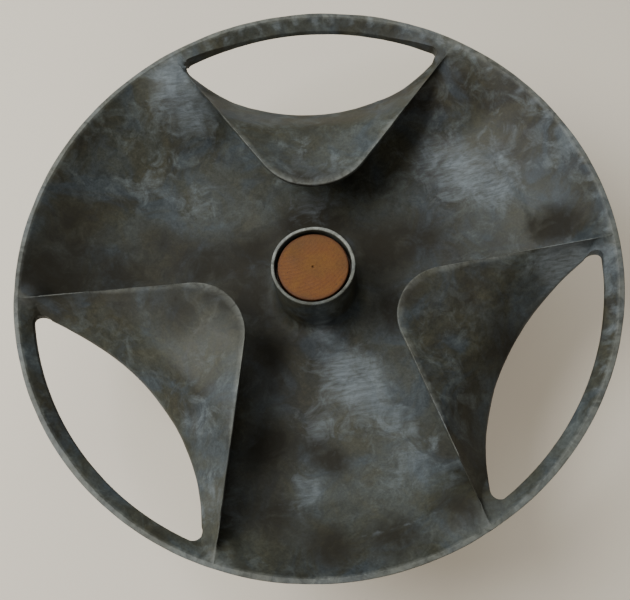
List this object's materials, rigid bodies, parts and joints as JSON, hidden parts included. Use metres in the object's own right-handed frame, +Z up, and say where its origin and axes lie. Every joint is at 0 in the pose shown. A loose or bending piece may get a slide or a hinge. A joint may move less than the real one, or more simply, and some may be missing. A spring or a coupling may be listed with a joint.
{
  "type": "pottery wheel",
  "caption": "Low hand-turned pottery wheel: a three-lobed stone dish with a tubular hub that spins on a fixed wooden post, held by a wooden tripod foot.",
  "frame": {"origin": "on the floor, under the middle of the wheel, on its turning axis", "axes": "+Z up along the turning axis; one lobe points close to +Y, the other two to the lower left and lower right of it"},
  "size_m": [0.61, 0.61, 0.204],
  "materials": {
    "stone": "dark grey schist, carved and rubbed to a dull satin",
    "post_wood": "turned wood, orange-brown end grain, oiled",
    "foot_wood": "brown hardwood, planed and waxed",
    "peg_wood": "pale hardwood, cut with a knife",
    "leather": "greased vegetable-tanned leather"
  },
  "bodies": {
    "stand": {"post": "post_wood", "thrust_washer": "leather", "centre_block": "foot_wood", "post_pin": "peg_wood", "post_wedge": "peg_wood", "leg_1": "foot_wood", "leg_peg_1": "peg_wood", "foot_pad_1": "leather", "pad_peg_1": "peg_wood", "leg_2": "foot_wood", "leg_peg_2": "peg_wood", "foot_pad_2": "leather", "pad_peg_2": "peg_wood", "leg_3": "foot_wood", "leg_peg_3": "peg_wood", "foot_pad_3": "leather", "pad_peg_3": "peg_wood"},
    "wheel": {"wheel_head": "stone", "upper_bush": "leather", "lower_bush": "leather", "wear_ring": "peg_wood"}
  },
  "joints": [
    {"name": "wheel_spin", "type": "hinge", "parent": "stand", "child": "wheel", "pos_m": [0, 0, 0.098], "axis": [0, 0, 1], "continuous": true}
  ]
}
